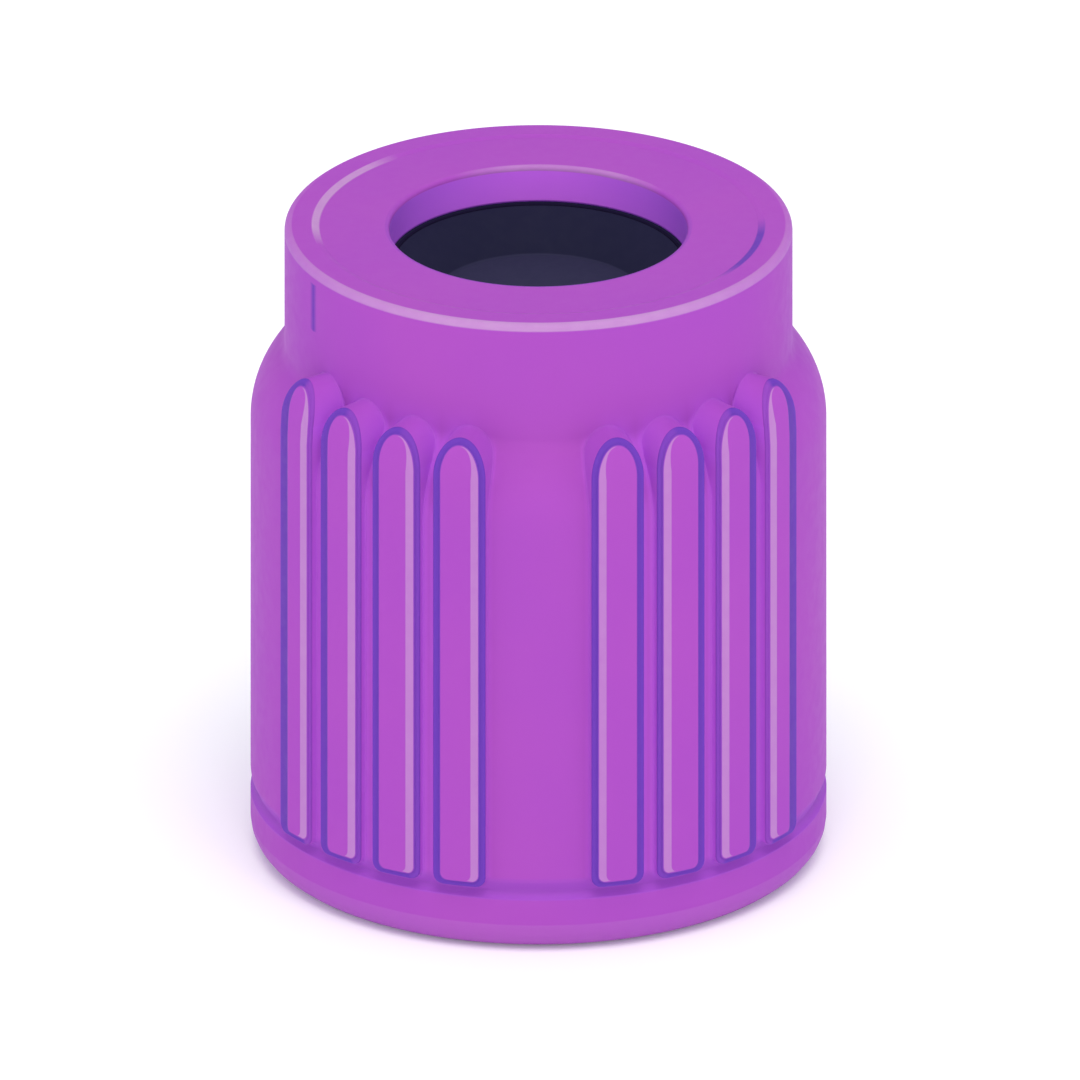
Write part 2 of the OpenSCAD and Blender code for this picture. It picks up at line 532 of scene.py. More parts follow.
# ---------------------------------------------------------------- ribs


class Side(Enum):
    """The side of a rib, seen from outside, that faces the plain panel beside its group."""

    LEFT = -1
    RIGHT = 1


class Surface(Enum):
    """The surface that a ring of a rib's skin is measured from."""

    FACE = "face"
    SKIN = "skin"


@dataclass(frozen=True)
class RibPlace:
    """Where one rib stands in its group.

    Args:
        direction: Direction from the axis, in degrees.
        tip_z: Height of its tip.
        bright: The long side that faces its group's plain panel, which carries the painted highlight stripe.
        share: 0 for the rib beside that panel, 1 for the last of its group.
    """

    direction: float
    tip_z: float
    bright: Side
    share: float

    def faces_panel(self, out_across: float) -> bool:
        """Returns whether a side that faces this way looks over a plain panel, and not over the next rib."""
        return self.share == (0.0 if out_across * self.bright.value > 0.0 else 1.0)


@dataclass(frozen=True)
class RimPoint:
    """A point on a rib's front view, and where its strip of skin ends at the border of the rib's bay.

    Args:
        across: Distance sideways from the rib's middle.
        height: Height above the bottom edge.
        out_across: Sideways part of the outward direction.
        out_height: Upward part of the outward direction.
        border_turn: Place on the bay's border, -1 to 1 across half a pitch.
        border_height: Height of that place.
    """

    across: float
    height: float
    out_across: float
    out_height: float
    border_turn: float
    border_height: float

    def mirrored(self) -> "RimPoint":
        """Returns the same point on the rib's other side."""
        return RimPoint(-self.across, self.height, -self.out_across, self.out_height, -self.border_turn,
                        self.border_height)


@dataclass(frozen=True)
class RibRing:
    """A ring around a rib, from the edge of its face out to the border of its bay.

    Args:
        offset: Distance outwards from the rib's outline.
        surface: The surface that its lift is measured from.
        lift: Radial distance above that surface.
        wear: Painted highlight and worn brightness.
        recess: Painted shade, as in a crease.
        shine: How much of the painted light shows on it.
        blend: How far the ring has moved towards the bay's border, 0 to 1.
        near: How much further inwards it runs along the side that faces the panel.
        far: How much further inwards it runs along the other side.
    """

    offset: float
    surface: Surface
    lift: float
    wear: float = 0.0
    recess: float = 0.0
    shine: float = 0.0
    blend: float = 0.0
    near: float = 0.0
    far: float = 0.0


@dataclass(frozen=True)
class ShieldSkin:
    """The shield's outer surface: skirt, curved shoulder, hollow round, neck, and the ribs' faces over them.

    Args:
        skirt_r: Radius of the skirt.
        neck_r: Radius of the neck.
        shoulder_z: Height at which the shoulder leaves the skirt.
        shoulder_h: Height of the shoulder's arc.
        neck_fillet: Radius of the hollow round between the shoulder and the neck.
        relief_z: Height of the relief's deepest line, in the groove over the base band.
        relief_top_z: Height at which the relief's soft upper flank ends.
        relief_depth: Depth of the relief.
        relief_fade: Height over which the relief's marks fade out at its upper end.
        relief_painted_shade: Painted shade all over the relief.
        relief_painted_light: Painted light all over the relief.
        rib_proud: How far a rib's face stands out of the skirt.
        crown_lift: How much higher than the shoulder a rib's face curves in.
    """

    skirt_r: float = SHIELD_HIGH[0]
    neck_r: float = 7.5
    shoulder_z: float = 13.65
    shoulder_h: float = 2.25
    neck_fillet: float = 0.6
    relief_z: float = 1.93
    relief_top_z: float = 2.4
    relief_depth: float = 0.18
    relief_fade: float = 0.12
    relief_painted_shade: float = 0.3
    relief_painted_light: float = 0.15
    rib_proud: float = 0.28
    crown_lift: float = 1.5

    @property
    def shoulder_r(self) -> float:
        """Radius of the shoulder's one arc, upright where it meets the skirt."""
        step = self.skirt_r - self.neck_r
        return (step * step + self.shoulder_h * self.shoulder_h) / (2 * step)

    def _grown(self, height: float, out: float, lift: float) -> float:
        """The neck, shoulder and skirt, grown outwards and lifted.

        Args:
            height: Height above the bottom edge.
            out: How far the outline is grown.
            lift: How far it is lifted.

        Returns:
            Radius of the grown outline at that height.
        """
        rise = height - lift - self.shoulder_z
        if rise <= 0.0:
            return self.skirt_r + out
        fillet = self.neck_fillet - out
        fillet_x = self.neck_r + out + fillet
        middle = self.skirt_r - self.shoulder_r
        reach = self.shoulder_r + self.neck_fillet
        fillet_rise = math.sqrt(reach * reach - (fillet_x - middle) ** 2)
        if rise <= fillet_rise * (self.shoulder_r + out) / reach:
            return middle + math.sqrt((self.shoulder_r + out) ** 2 - rise * rise)
        if rise < fillet_rise:
            return fillet_x - math.sqrt(fillet * fillet - (rise - fillet_rise) ** 2)
        return self.neck_r + out

    def bare(self, height: float) -> float:
        """Returns the radius of the skin between the ribs at a height, with the relief's soft flank."""
        share = clamped((height - self.relief_z) / (self.relief_top_z - self.relief_z))
        return self._grown(height, 0.0, 0.0) - self.relief_depth * (1 - eased(share))

    def face(self, height: float) -> float:
        """Returns the radius of a rib's face at a height."""
        return self._grown(height, self.rib_proud, self.crown_lift)

    def in_relief(self, height: float) -> float:
        """Returns how strongly the relief's marks show at a height: 1 in the relief, and 0 above it."""
        return clamped((self.relief_top_z - height) / self.relief_fade)


@dataclass
class RibBay:
    """One grip rib with the strip of skin around it, out to the borders that it shares with its neighbours.

    Args:
        skin: The surface that it grows from.
        pitch: Angle between neighbouring ribs, in degrees.
        place: Where its rib stands.
        foot_z: Height of the rib's foot.
        width: Width of the rib.
        arch_h: Height of the arch at its tip.
        foot_round: Radius of its foot's two corners.
        ledge_width: Width of the sunk ledge around its face.
        ledge_drop: Depth of that ledge.
        ledge_slope: Width of the slope from the face down to the ledge.
        brink: Width of the face's painted dark edge above that slope.
        brink_drop: How far that edge has dropped.
        far_ledge_extra: How much wider the first rib's ledge is on the side away from the panel.
        last_ledge_extra: The same on the last rib.
        ledge_curve: Power by which it widens from rib to rib.
        last_ledge_cut: How much narrower the last rib's ledge is on the side that faces the panel.
        last_ledge_fade: How much fainter its painted shade is there.
        edge_round: Radius of the rib's outer edge.
        edge_drop: How far below that edge the plain wall starts.
        root_fillet: Radius of the hollow round at the rib's root.
        root_land: Width of the narrow ring of skin around that round.
        stripe_gap: Distance of the painted highlight stripe's two inner rings from the ledge.
        stripe_width: Width of the painted highlight stripe on the first and the last rib.
        stripe_highlight: How bright it is on the first and the last rib.
        stripe_onset: How fast it sets in where the outline turns to the side.
        sheet_gap: Distance from the ledge to the plain middle of the face.
        brink_shade: Painted shade on the face's dark edge.
        wall_shade: Painted shade on the wall and the root.
        wall_painted_light: How much of the painted light shows on the wall.
        root_painted_light: Painted light at the foot of a wall that looks over the next rib, which lifts its
            shade.
        painted_light_reach: How far from the outline that painted light goes.
        panel_painted_light: Painted light at the foot of a wall that looks over a plain panel.
        panel_reach: How far from the outline that painted light goes.
        tip_dimming: How much of both is lost at the tip.
        shelter_painted_light: Painted light in the notches between the crowns, which lifts their shade.
        shelter_reach: How far from the outline it goes.
        shelter_fade: Power by which it fades on the way.
        shelter_curve: Power by which it grows with the stand of the crown.
        crown_stand: Stand of a crown over the skin at which that glow is full.
        arch_dimming: How much of it is lost over the arch.
        panel_dimming: How much of it is lost on the side that looks over a plain panel.
        panel_onset: How fast that sets in where the outline turns to the side.
        foot_steps: Steps along half of the foot, and along half of the bay's upper border.
        corner_steps: Steps round a corner of the foot.
        edge_steps: Steps down the ledge's slope, and round the rib's outer edge.
        root_steps: Steps round the root.
        blends: How far each ring of the skin has moved towards the bay's border.
        side_heights: Heights of the points up the rib's straight side.
        crown_heights: Heights on the border of the strips of skin that start from the arch.
    """

    skin: ShieldSkin
    pitch: float
    place: RibPlace
    foot_z: float = 2.15
    width: float = 1.6
    arch_h: float = 1.2
    foot_round: float = 0.3
    ledge_width: float = 0.17
    ledge_drop: float = 0.05
    ledge_slope: float = 0.03
    brink: float = 0.015
    brink_drop: float = 0.002
    far_ledge_extra: float = 0.06
    last_ledge_extra: float = 0.34
    ledge_curve: float = 2.0
    last_ledge_cut: float = 0.08
    last_ledge_fade: float = 0.5
    edge_round: float = 0.06
    edge_drop: float = 0.015
    root_fillet: float = 0.05
    root_land: float = 0.035
    stripe_gap: tuple[float, float] = (0.04, 0.035)
    stripe_width: tuple[float, float] = (0.2, 0.28)
    stripe_highlight: tuple[float, float] = (0.68, 0.8)
    stripe_onset: float = 3.0
    sheet_gap: float = 0.06
    brink_shade: float = 0.5
    wall_shade: float = 0.1
    wall_painted_light: float = 0.65
    root_painted_light: float = 0.37
    painted_light_reach: float = 0.3
    panel_painted_light: float = 0.16
    panel_reach: float = 0.18
    tip_dimming: float = 0.6
    shelter_painted_light: float = 0.87
    shelter_reach: float = 1.0
    shelter_fade: float = 2.0
    shelter_curve: float = 0.6
    crown_stand: float = 0.92
    arch_dimming: float = 0.8
    panel_dimming: float = 0.7
    panel_onset: float = 2.0
    foot_steps: int = 4
    corner_steps: int = 4
    edge_steps: int = 4
    root_steps: int = 3
    blends: tuple[float, ...] = (0.0, 0.1, 0.2, 0.3, 0.45, 0.6, 0.75, 0.88, 1.0)
    side_heights: tuple[float, ...] = (2.62, 3.2, 4.6, 6.2, 7.8, 9.4, 11.0, 12.4, 13.2, 13.65, 13.85, 14.05,
                                       14.25, 14.45, 14.65, 14.85, 15.05)
    crown_heights: tuple[float, ...] = (15.25, 15.42, 15.57, 15.69, 15.78, 15.86, 15.94, 16.01, 16.08, 16.15,
                                        16.25, 16.55, 17.25)

    @property
    def tip_z(self) -> float:
        """Height of the rib's tip."""
        return self.place.tip_z

    @property
    def spring_z(self) -> float:
        """Height at which the arch leaves the rib's straight sides."""
        return self.tip_z - self.arch_h

    @property
    def border_top_z(self) -> float:
        """Height on the neck at which every bay ends."""
        return self.crown_heights[-1]

    def graded(self, first: float, last: float, power: float = 1.0) -> float:
        """Returns a value that goes from a group's first rib to its last."""
        return first + (last - first) * self.place.share ** power

    @property
    def far_extra(self) -> float:
        """How much wider the ledge is on the side away from the panel."""
        return self.graded(self.far_ledge_extra, self.last_ledge_extra, self.ledge_curve)

    @property
    def near_extra(self) -> float:
        """How much wider the ledge is on the side that faces the panel."""
        return self.graded(0.0, -self.last_ledge_cut)

    @property
    def stripe_extra(self) -> float:
        """How much further in than an even ledge the painted highlight stripe ends."""
        return self.near_extra + self.graded(*self.stripe_width)

    def border_heights(self) -> list[float]:
        """Returns the heights at which neighbouring bays and panels meet, from the relief up."""
        return [p.border_height for p in self._right_side() if p.border_turn == 1.0]

    def _right_side(self) -> list[RimPoint]:
        """Walks the right half of the rib's front view.

        Returns:
            The points from the middle of the foot to the tip.
        """
        half = self.width / 2
        flat = half - self.foot_round
        corner_top = self.foot_z + self.foot_round
        low = self.skin.relief_z
        points = [RimPoint(flat * i / self.foot_steps, self.foot_z, 0.0, -1.0, i / self.foot_steps, low)
                  for i in range(self.foot_steps + 1)]
        for i in range(1, self.corner_steps + 1):
            turn = math.pi / 2 * i / self.corner_steps
            out, down = math.sin(turn), math.cos(turn)
            border_height = low + (corner_top - low) * i / self.corner_steps
            points.append(RimPoint(flat + self.foot_round * out, corner_top - self.foot_round * down,
                                   out, -down, 1.0, border_height))
        points += [RimPoint(half, z, 1.0, 0.0, 1.0, z) for z in self.side_heights]
        side_steps = len(self.crown_heights) - 1
        steps = side_steps + self.foot_steps
        for i in range(steps + 1):
            turn = math.pi / 2 * i / steps
            out, up = math.cos(turn), math.sin(turn)
            slope = Vector((out / half, up / self.arch_h)).normalized()
            border_turn = 1.0 - max(i - side_steps, 0) / self.foot_steps
            points.append(RimPoint(half * out, self.spring_z + self.arch_h * up, slope.x, slope.y,
                                   border_turn, self.crown_heights[min(i, side_steps)]))
        return points

    def rim(self) -> list[RimPoint]:
        """Returns the rib's whole outline, once round from the middle of the foot."""
        right = self._right_side()
        return right + [p.mirrored() for p in reversed(right[1:-1])]

    def rings(self) -> list[RibRing]:
        """Returns the rings from the face, over its ledge, round and wall, to the bay's border."""
        return self._face_rings() + self._edge_rings() + self._skin_rings()

    def _face_rings(self) -> list[RibRing]:
        """Returns the rings of the painted highlight stripe, the face's painted dark edge and the slope down
        to the ledge.
        """
        face, ledge, near, far = Surface.FACE, -self.ledge_width, self.near_extra, self.far_extra
        wear = self.graded(*self.stripe_highlight)
        start, end = self.stripe_gap
        rings = [RibRing(ledge - start, face, 0.0, wear=wear, near=self.stripe_extra, far=far),
                 RibRing(ledge - end, face, 0.0, wear=wear, near=near, far=far),
                 RibRing(ledge - self.brink, face, -self.brink_drop, recess=self.brink_shade,
                         near=near, far=far)]
        # the slope down to the ledge and the rib's outer edge carry a full painted shade line round the face
        for step in range(1, self.edge_steps + 1):
            share = step / self.edge_steps
            rings.append(RibRing(ledge + self.ledge_slope * share, face, -self.ledge_drop * eased(share),
                                 recess=1.0, near=near, far=far))
        return rings

    def _edge_rings(self) -> list[RibRing]:
        """Returns the rings round the rib's outer edge, and the first of its wall."""
        rings: list[RibRing] = []
        for step in range(self.edge_steps + 1):
            turn = math.pi / 2 * step / self.edge_steps
            rings.append(RibRing(-self.edge_round * (1 - math.sin(turn)), Surface.FACE,
                                 -self.ledge_drop - self.edge_round * (1 - math.cos(turn)), recess=1.0))
        rings.append(RibRing(0.0, Surface.FACE, -self.ledge_drop - self.edge_round - self.edge_drop,
                             recess=self.wall_shade, shine=self.wall_painted_light))
        return rings

    def _skin_rings(self) -> list[RibRing]:
        """Returns the rings round the rib's root, and over the skin to the bay's border."""
        rings: list[RibRing] = []
        # the root carries painted shade and painted light, the skin out to the bay's border painted light
        for step in range(self.root_steps + 1):
            turn = math.pi / 2 * step / self.root_steps
            rings.append(RibRing(self.root_fillet * (1 - math.cos(turn)), Surface.SKIN,
                                 self.root_fillet * (1 - math.sin(turn)), recess=self.wall_shade, shine=1.0))
        rings += [RibRing(self.root_fillet + self.root_land, Surface.SKIN, 0.0, shine=1.0, blend=blend)
                  for blend in self.blends]
        return rings

    def _spot(self, across: float, height: float, surface: Surface, lift: float) -> Vector:
        """Places a point of the front view on the round shield.

        Args:
            across: Distance sideways from the rib's middle plane.
            height: Height above the bottom edge.
            surface: The surface that it stands on.
            lift: Radial distance above that surface.

        Returns:
            The point, with the rib's middle plane through +X.
        """
        radius = (self.skin.face(height) if surface is Surface.FACE else self.skin.bare(height)) + lift
        return Vector((math.sqrt(radius * radius - across * across), across, height))

    def _inwards(self, point: RimPoint, inset: float, near: float, far: float) -> Vector:
        """Moves a point of the rim inwards over the rib's face, so that its corners and arch shrink evenly.

        Args:
            point: The rim's point.
            inset: How far in it moves.
            near: How much further in it moves along the side that faces the panel.
            far: How much further in it moves along the other side.

        Returns:
            Its new distance from the rib's middle, and its new height.
        """
        below_tip = math.sqrt(clamped((self.tip_z - point.height) / self.arch_h))
        extra = near if point.across * self.place.bright.value > 0.0 else far
        across = point.across * (1 - (inset + extra * below_tip) / (self.width / 2))
        if point.height > self.spring_z:
            rise = (point.height - self.spring_z) * (1 - inset / self.arch_h)
            return Vector((across, self.spring_z + rise))
        fade = max(0.0, 1 - (point.height - self.foot_z) / (2 * self.foot_round))
        return Vector((across, point.height + inset * fade))

    def _ring_spot(self, point: RimPoint, ring: RibRing) -> Vector:
        """Returns where a ring passes a point of the rim."""
        if ring.offset < 0.0:
            inner = self._inwards(point, -ring.offset, ring.near, ring.far)
            return self._spot(inner.x, inner.y, ring.surface, ring.lift)
        across = point.across + point.out_across * ring.offset
        height = point.height + point.out_height * ring.offset
        if ring.blend > 0.0:
            turn = math.radians(self.pitch / 2) * point.border_turn
            across += (self.skin.bare(point.border_height) * math.sin(turn) - across) * ring.blend
            height += (point.border_height - height) * ring.blend
        return self._spot(across, height, ring.surface, ring.lift)

    def _painted_light(self, spot: Vector, point: RimPoint, blend: float) -> float:
        """How much painted light lifts the shade at a spot of the skin.

        Args:
            spot: The spot, with the rib's middle plane through +X.
            point: The rim's point that it belongs to.
            blend: How far the spot has moved towards the bay's border, 0 to 1.

        Returns:
            The mark, most at the foot of the rib's wall and in the notches between the crowns.
        """
        over_panel = self.place.faces_panel(point.out_across)
        root = self.panel_painted_light if over_panel else self.root_painted_light
        reach = self.panel_reach if over_panel else self.painted_light_reach
        away = math.hypot(spot.y - point.across, spot.z - point.height)
        upward = max(0.0, point.out_height)
        at_root = root * (1 - self.tip_dimming * upward) * max(0.0, 1 - away / reach)
        # painted light in the notches, which grows with how far the crowns stand out over the skin and shade
        # it
        stand = self.skin.face(spot.z) - self.skin.bare(spot.z) - self.skin.rib_proud
        sheltered = self.shelter_painted_light * clamped(stand / self.crown_stand) ** self.shelter_curve
        sheltered *= max(0.0, 1 - away / self.shelter_reach) ** self.shelter_fade
        sheltered *= 1 - self.arch_dimming * math.sqrt(upward)
        open_side = clamped(self.panel_onset * abs(point.out_across)) if over_panel else 0.0
        return max(at_root, sheltered * (1 - self.panel_dimming * open_side) * (1 - blend * open_side))

    def _mark(self, bm: BMesh, vert: BMVert, point: RimPoint, ring: RibRing) -> None:
        """Gives a vertex its painted highlight and worn brightness, its painted shade and its painted light.

        Args:
            bm: The shield's mesh.
            vert: The vertex, in its place.
            point: The rim's point that it belongs to.
            ring: Its ring.
        """
        edge, recess, glow = (bm.verts.layers.float[name] for name in (HIGHLIT_AND_WORN, PAINTED_SHADE, PAINTED_LIGHT))
        # the painted highlight stripe lies on the side that faces the panel, and the painted shade line is
        # fainter there
        worn_and_highlit_part = clamped(self.stripe_onset * point.out_across * self.place.bright.value)
        vert[edge] = ring.wear * worn_and_highlit_part
        vert[recess] = ring.recess * (1 - self.graded(0.0, self.last_ledge_fade) * worn_and_highlit_part)
        vert[glow] = ring.shine * self._painted_light(vert.co, point, ring.blend)
        # painted shade and painted light over the relief strip
        if ring.surface is Surface.SKIN:
            sunk = self.skin.in_relief(vert.co.z)
            vert[recess] = max(vert[recess], self.skin.relief_painted_shade * sunk)
            vert[glow] = max(vert[glow], self.skin.relief_painted_light * sunk)

    def _face_sheet(self, bm: BMesh, rim: list[RimPoint]) -> list[BMVert]:
        """Lays the plain middle of the rib's face.

        Args:
            bm: The shield's mesh.
            rim: The rib's outline. Each vertex keeps the number of the outline's point that it follows.

        Returns:
            The sheet's vertices.
        """
        place = bm.verts.layers.int[RIM]
        tip = len(rim) // 2
        columns, rows = 2 * self.foot_steps, tip - self.foot_steps
        inset = self.ledge_width + self.sheet_gap
        sheet = bmesh.ops.create_grid(bm, x_segments=columns, y_segments=rows, size=1.0)["verts"]
        tips: list[BMVert] = []
        for vert in sheet:
            column = round((vert.co.x + 1) / 2 * columns)
            row = round((vert.co.y + 1) / 2 * rows)
            number = self.foot_steps + row
            left = self._inwards(rim[number].mirrored(), inset, self.stripe_extra, self.far_extra)
            right = self._inwards(rim[number], inset, self.stripe_extra, self.far_extra)
            share = column / columns
            vert.co = self._spot(right.x * share + left.x * (1 - share), right.y, Surface.FACE, 0.0)
            if row == rows:
                vert[place] = tip
                tips.append(vert)
            elif row == 0:
                vert[place] = (column - self.foot_steps) % len(rim)
            else:
                vert[place] = number if column == columns else len(rim) - number
        bmesh.ops.pointmerge(bm, verts=tips, merge_co=tips[0].co)
        return [v for v in sheet if v.is_valid]

    def build(self, bm: BMesh) -> list[BMVert]:
        """Grows one bay in the mesh, with its rib on +X.

        Args:
            bm: The shield's mesh.

        Returns:
            The bay's vertices.
        """
        rim = self.rim()
        place = bm.verts.layers.int[RIM]
        verts = self._face_sheet(bm, rim)
        border = [e for v in verts for e in v.link_edges if e.is_boundary]
        for ring in self.rings():
            grown = bmesh.ops.extrude_edge_only(bm, edges=list(dict.fromkeys(border)))["geom"]
            for vert in (g for g in grown if isinstance(g, BMVert)):
                point = rim[vert[place]]
                vert.co = self._ring_spot(point, ring)
                self._mark(bm, vert, point, ring)
                verts.append(vert)
            border = [g for g in grown if isinstance(g, BMEdge) and g.is_boundary]
        return verts


# ---------------------------------------------------------------- pieces


def settle_faces(bm: BMesh) -> None:
    """Puts a mesh's faces in the order of their first three points, which merging leaves loose.

    Args:
        bm: The mesh.
    """
    bm.verts.index_update()
    count = len(bm.verts)

    def rank(face: BMFace) -> int:
        """Returns a face's place in the order."""
        first, second, third = sorted(vert.index for vert in face.verts)[:3]
        return (first * count + second) * count + third
    bm.faces.sort(key=rank)


@dataclass
class MouldedPiece(ABC):
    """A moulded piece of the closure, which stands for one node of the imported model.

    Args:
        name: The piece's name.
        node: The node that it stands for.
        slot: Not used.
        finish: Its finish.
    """

    name: str
    node: str
    slot: str
    finish: MouldedFinish

    @abstractmethod
    def shape(self) -> BMesh:
        """Returns the piece's closed mesh, in millimetres."""

    def build(self) -> bpy.types.Object:
        """Builds the piece in metres, with smooth faces.

        Returns:
            The piece, at the origin.
        """
        bm = self.shape()
        bmesh.ops.recalc_face_normals(bm, faces=bm.faces)
        bmesh.ops.scale(bm, vec=(MM, MM, MM), verts=bm.verts)
        settle_faces(bm)
        for face in bm.faces:
            face.smooth = True
        open_edges = sum(1 for e in bm.edges if not e.is_manifold)
        if open_edges:
            log.warning("%s has %d edges that aren't closed", self.name, open_edges)
        mesh = bpy.data.meshes.new(self.name)
        bm.to_mesh(mesh)
        bm.free()
        piece = bpy.data.objects.new(self.name, mesh)
        bpy.context.scene.collection.objects.link(piece)
        return piece

    def dress(self, piece: bpy.types.Object, effects: Effects) -> None:
        """Gives the piece its finish and its place in the frame, and reports it.

        Args:
            piece: The piece, as built.
            effects: The shared groups.
        """
        piece.data.materials.append(self.finish.material(effects))
        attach(piece, "root")
        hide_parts(self.node)
        low, high = box_mm(self.node)
        log.info("%s: %d faces, for node %s, %.2f mm tall", piece.name, len(piece.data.polygons), self.node,
                 high[2] - low[2])


@dataclass
class RibbedShield(MouldedPiece):
    """The safety shield: four groups of grip ribs around a skirt, a curved shoulder, a neck, and a hollow.

    Args:
        name: The piece's name.
        node: The node that it stands for.
        slot: Not used.
        finish: Its finish.
        skin: Its outer surface.
        rib_count: Ribs in each group.
        rib_pitch: Angle between a group's ribs, in degrees.
        front_start: Angle from the middle of the front panel to the first rib on each side, in degrees.
        rear_start: The same on the rear panel.
        tip_z: Height of a group's lowest tip, beside that panel.
        tip_rise: How much higher the last rib's tip is.
        tip_curve: Power by which the tips rise from rib to rib.
        panel_step: Angle between the upright lines of a plain panel, in degrees.
        height: Height of the top.
        rim_round: Radius of the top's outer edge.
        top_step: Depth of the step in the top.
        top_step_r: Radius of the foot of that step.
        top_step_slope: Width of its slope.
        top_step_round: Radius of its two edges.
        hole_r: Radius of the needle hole.
        hole_round: Radius of the hole's upper edge.
        wall_start: Depth below the hole's edge at which the marks on its wall are full.
        wall_end: Height above the roof down to which they are.
        roof_z: Height of the roof over the stopper.
        seat_r: Radius of the seat around the stopper's flange.
        ledge_z: Height of the ledge of the snap bead, under the flange.
        bead_r: Radius inside the snap bead.
        bead_land: Height of the bead's upright face.
        guide_r: Radius of the guide below the bead.
        guide_end_z: Height at which the guide ends.
        socket_r: Radius of the tube's socket.
        mouth_chamfer: Width of the chamfer at its mouth.
        base_round: Radius of the base's outer edge.
        band_z: Height of the base band.
        sharp_round: Radius of the sharpest edges.
        bead_round: Radius of the edge of the bead's ledge.
        inner_round: Radius of most edges of the hollow.
        guide_round: Radius of the edges at the guide's end.
        shade_line_z: Heights on the neck between which a thin painted shade line shows.
        shade_line_fade: Height over which it fades at each end.
        rear_dimming: How much less painted light the hole's wall has at the rear.
    """

    name: str = "ribbed_shield"
    node: str = "shield"
    slot: str = "shield_plastic"
    finish: MouldedFinish = LAVENDER_PLASTIC
    skin: ShieldSkin = field(default_factory=ShieldSkin)
    rib_count: int = 4
    rib_pitch: float = 13.35
    front_start: float = 15.7
    rear_start: float = 12.5
    tip_z: float = 16.45
    tip_rise: float = 0.37
    tip_curve: float = 3.0
    panel_step: float = 1.67
    height: float = SHIELD_HIGH[2]
    rim_round: float = 0.19
    top_step: float = 0.05
    top_step_r: float = 6.5
    top_step_slope: float = 0.17
    top_step_round: float = 0.05
    hole_r: float = 4.4
    hole_round: float = 0.12
    wall_start: float = 0.2
    wall_end: float = 0.1
    roof_z: float = STOPPER_HIGH[2]
    seat_r: float = 6.8
    ledge_z: float = 16.2
    bead_r: float = 6.6
    bead_land: float = 0.5
    guide_r: float = 6.75
    guide_end_z: float = 8.85
    socket_r: float = 7.0
    mouth_chamfer: float = 0.25
    base_round: float = 0.9
    band_z: float = 1.75
    sharp_round: float = 0.04
    bead_round: float = 0.06
    inner_round: float = 0.1
    guide_round: float = 0.15
    shade_line_z: tuple[float, float] = (17.9, 19.34)
    shade_line_fade: float = 0.06
    rear_dimming: float = 0.16

    def _outer_corners(self, neck_z: float) -> list[Corner]:
        """Walks from the neck over the top and down the needle hole.

        Args:
            neck_z: Height on the neck at which the bays end.

        Returns:
            The corners, from the bays' borders to the roof over the stopper.
        """
        neck_r, inner_top = self.skin.neck_r, self.height - self.top_step
        shade_line_low, shade_line_high = self.shade_line_z
        # a thin painted shade line on the neck; on the top step a painted highlight arc at the rear left and
        # a painted shade arc at the front right; at the hole's edge a painted highlight at the rear and
        # painted shade at the front
        shade_line = Marks(recess=1.0, shaded=Reach.NECK_SHADE_LINE)
        step = Marks(wear=1.0, recess=1.0, worn_and_highlit_part=Reach.REAR_LEFT, shaded=Reach.FRONT_RIGHT)
        hole = Marks(wear=0.66, recess=0.6, worn_and_highlit_part=Reach.REAR, shaded=Reach.FRONT)
        return [
            Corner(neck_r, neck_z),
            Corner(neck_r, shade_line_low - self.shade_line_fade),
            Corner(neck_r, shade_line_low, marks=shade_line),
            Corner(neck_r, shade_line_high, marks=shade_line),
            Corner(neck_r, shade_line_high + self.shade_line_fade),
            # the top's outer edge carries a painted highlight over its front half
            Corner(neck_r, self.height, self.rim_round, Marks(wear=1.0, worn_and_highlit_part=Reach.FRONT)),
            Corner(self.top_step_r + self.top_step_slope, self.height, self.top_step_round, step),
            Corner(self.top_step_r, inner_top, self.top_step_round, step),
            Corner(self.hole_r, inner_top, self.hole_round, hole),
            # the hole's wall: painted light, with painted shade on its sides; the roof's edge: painted shade
            Corner(self.hole_r, inner_top - self.wall_start,
                   marks=Marks(glow=0.9, recess=0.55, shaded=Reach.ALL_BUT_REAR)),
            Corner(self.hole_r, self.roof_z + self.wall_end,
                   marks=Marks(glow=1.0, recess=0.45, shaded=Reach.ALL_BUT_REAR)),
            Corner(self.hole_r, self.roof_z, self.sharp_round, Marks(recess=0.8)),
        ]

    def _inner_corners(self) -> list[Corner]:
        """Returns the corners from the roof over the stopper, down the hollow and back up to the relief."""
        bead_end = self.ledge_z - self.bead_land
        # painted shade and painted light over the relief strip above the base band
        relief = Marks(recess=self.skin.relief_painted_shade, glow=self.skin.relief_painted_light)
        return [
            Corner(self.seat_r, self.roof_z, self.inner_round),
            Corner(self.seat_r, self.ledge_z, self.sharp_round),
            Corner(self.bead_r, self.ledge_z, self.bead_round),
            Corner(self.bead_r, bead_end, self.inner_round),
            Corner(self.guide_r, bead_end - (self.guide_r - self.bead_r), self.inner_round),
            Corner(self.guide_r, self.guide_end_z, self.guide_round),
            Corner(self.socket_r, self.guide_end_z - (self.socket_r - self.guide_r), self.guide_round),
            Corner(self.socket_r, self.mouth_chamfer, self.inner_round),
            Corner(self.socket_r + self.mouth_chamfer, 0.0, self.inner_round, Marks(wear=0.5)),
            Corner(self.skin.skirt_r, 0.0, self.base_round, Marks(wear=0.15)),
            Corner(self.skin.skirt_r, self.band_z, self.sharp_round, relief),
            Corner(self.skin.skirt_r - self.skin.relief_depth, self.skin.relief_z, marks=relief),
        ]

